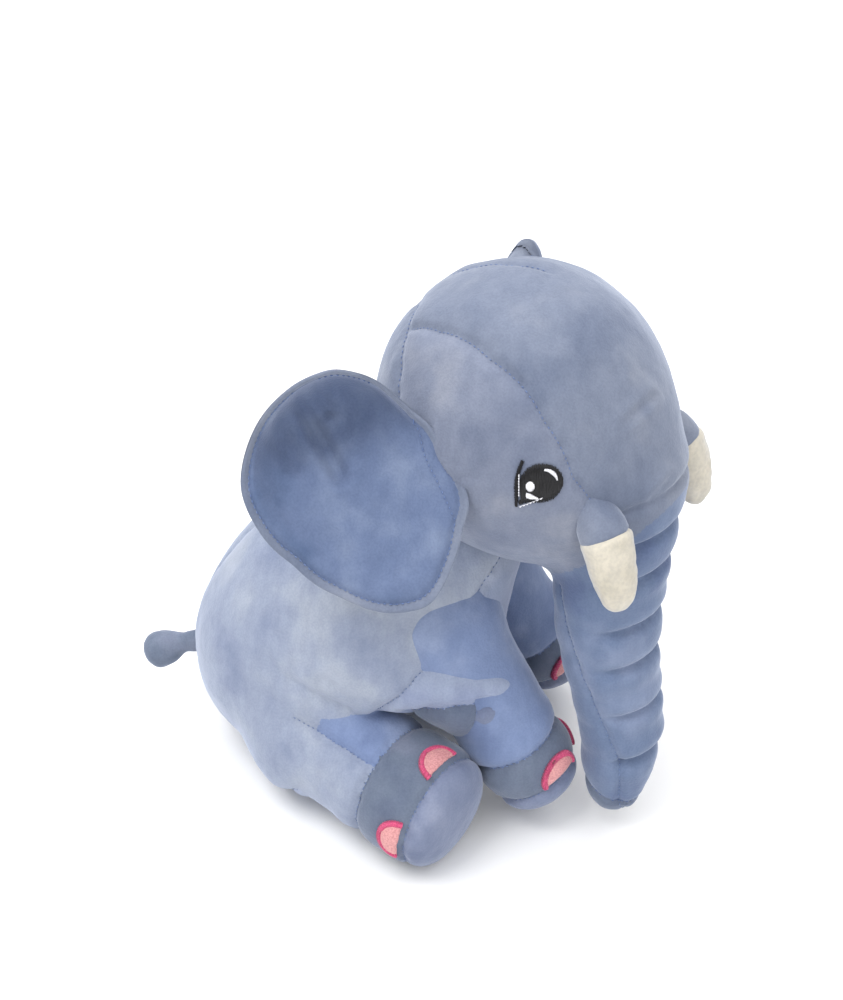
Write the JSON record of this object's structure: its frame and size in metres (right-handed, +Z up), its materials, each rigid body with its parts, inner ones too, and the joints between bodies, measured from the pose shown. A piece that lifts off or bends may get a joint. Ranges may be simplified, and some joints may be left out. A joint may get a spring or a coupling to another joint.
{
  "type": "stuffed elephant",
  "caption": "Seated stuffed elephant with a hanging trunk, cupped ears, small tusks, tail and four legs, each sewn and stuffed as its own soft piece.",
  "frame": {"origin": "centre of the flat seat that the toy rests on, under the torso, in the plane between its right and left sides", "axes": "+Z up from the surface it sits on, -Y the way the body faces, -X towards its own right side"},
  "size_m": [0.3257, 0.3715, 0.361],
  "materials": {
    "blue_plush": "short-pile plush",
    "blue_plush_cap": "short-pile plush",
    "cream_plush": "short-pile plush",
    "nail_felt": "felt patch in satin stitch",
    "eye_thread": "embroidery thread",
    "glint_thread": "embroidery thread",
    "wadding": "loose polyester wadding"
  },
  "bodies": {
    "torso": {"torso_back_panel": "blue_plush", "belly_panel": "blue_plush", "torso_filling": "wadding"},
    "head": {"head_crown_panel": "blue_plush", "head_back_panel": "blue_plush", "cheek_panel_right": "blue_plush", "cheek_panel_left": "blue_plush", "head_filling": "wadding", "eye_patch_right": "eye_thread", "eye_patch_left": "eye_thread", "eye_glints_right": "glint_thread", "eye_glints_left": "glint_thread", "tusk_sleeve_right": "blue_plush", "tusk_sleeve_left": "blue_plush", "tusk_right": "cream_plush", "tusk_left": "cream_plush"},
    "trunk": {"trunk_front_panel": "blue_plush", "trunk_back_panel": "blue_plush", "trunk_tip_cap": "blue_plush", "trunk_filling": "wadding"},
    "tail": {"tail_tube": "blue_plush", "tail_tuft": "blue_plush"},
    "ear_right": {"ear_front_right": "blue_plush", "ear_batting_right": "wadding", "ear_back_right": "blue_plush"},
    "front_leg_right": {"front_leg_skin_right": "blue_plush", "front_foot_cap_right": "blue_plush_cap", "front_sole_right": "blue_plush_cap", "front_nails_right": "nail_felt", "front_leg_filling_right": "wadding"},
    "hind_leg_right": {"hind_leg_skin_right": "blue_plush", "hind_foot_cap_right": "blue_plush_cap", "hind_sole_right": "blue_plush_cap", "hind_nails_right": "nail_felt", "hind_leg_filling_right": "wadding"},
    "ear_left": {"ear_front_left": "blue_plush", "ear_batting_left": "wadding", "ear_back_left": "blue_plush"},
    "front_leg_left": {"front_leg_skin_left": "blue_plush", "front_foot_cap_left": "blue_plush_cap", "front_sole_left": "blue_plush_cap", "front_nails_left": "nail_felt", "front_leg_filling_left": "wadding"},
    "hind_leg_left": {"hind_leg_skin_left": "blue_plush", "hind_foot_cap_left": "blue_plush_cap", "hind_sole_left": "blue_plush_cap", "hind_nails_left": "nail_felt", "hind_leg_filling_left": "wadding"}
  },
  "joints": [
    {"name": "head_turn", "type": "hinge", "parent": "torso", "child": "head", "pos_m": [0, -0.135, 0.274], "axis": [0, 0, 1], "range_deg": [0, 40], "stiffness_Nm_per_rad": 0.6},
    {"name": "trunk_lift", "type": "hinge", "parent": "head", "child": "trunk", "pos_m": [-0.02608, -0.19787, 0.247], "axis": [-0.9397, 0.342, 0], "range_deg": [0, 35], "stiffness_Nm_per_rad": 0.5},
    {"name": "ear_right_flap", "type": "hinge", "parent": "head", "child": "ear_right", "pos_m": [-0.05885, -0.0774, 0.3], "axis": [0.361, 0.5205, 0.7738], "range_deg": [-4, 30], "stiffness_Nm_per_rad": 0.15},
    {"name": "ear_left_flap", "type": "hinge", "parent": "head", "child": "ear_left", "pos_m": [0.08211, -0.1287, 0.3], "axis": [-0.058, -0.6308, -0.7738], "range_deg": [-4, 30], "stiffness_Nm_per_rad": 0.15},
    {"name": "tail_wag", "type": "hinge", "parent": "torso", "child": "tail", "pos_m": [0, 0.08, 0.064], "axis": [0, 0, 1], "range_deg": [-30, 30], "stiffness_Nm_per_rad": 0.03},
    {"name": "front_leg_right_close", "type": "hinge", "parent": "torso", "child": "front_leg_right", "pos_m": [-0.044, -0.095, 0.14], "axis": [0, -0.848, 0.5299], "range_deg": [0, 10], "stiffness_Nm_per_rad": 0.5},
    {"name": "front_leg_left_close", "type": "hinge", "parent": "torso", "child": "front_leg_left", "pos_m": [0.044, -0.095, 0.14], "axis": [0, 0.848, -0.5299], "range_deg": [0, 10], "stiffness_Nm_per_rad": 0.5},
    {"name": "hind_leg_right_spread", "type": "hinge", "parent": "torso", "child": "hind_leg_right", "pos_m": [-0.056, -0.0095, 0.05], "axis": [0, 0, -1], "range_deg": [0, 22], "stiffness_Nm_per_rad": 0.5},
    {"name": "hind_leg_left_spread", "type": "hinge", "parent": "torso", "child": "hind_leg_left", "pos_m": [0.056, -0.0095, 0.05], "axis": [0, 0, 1], "range_deg": [0, 22], "stiffness_Nm_per_rad": 0.5}
  ]
}
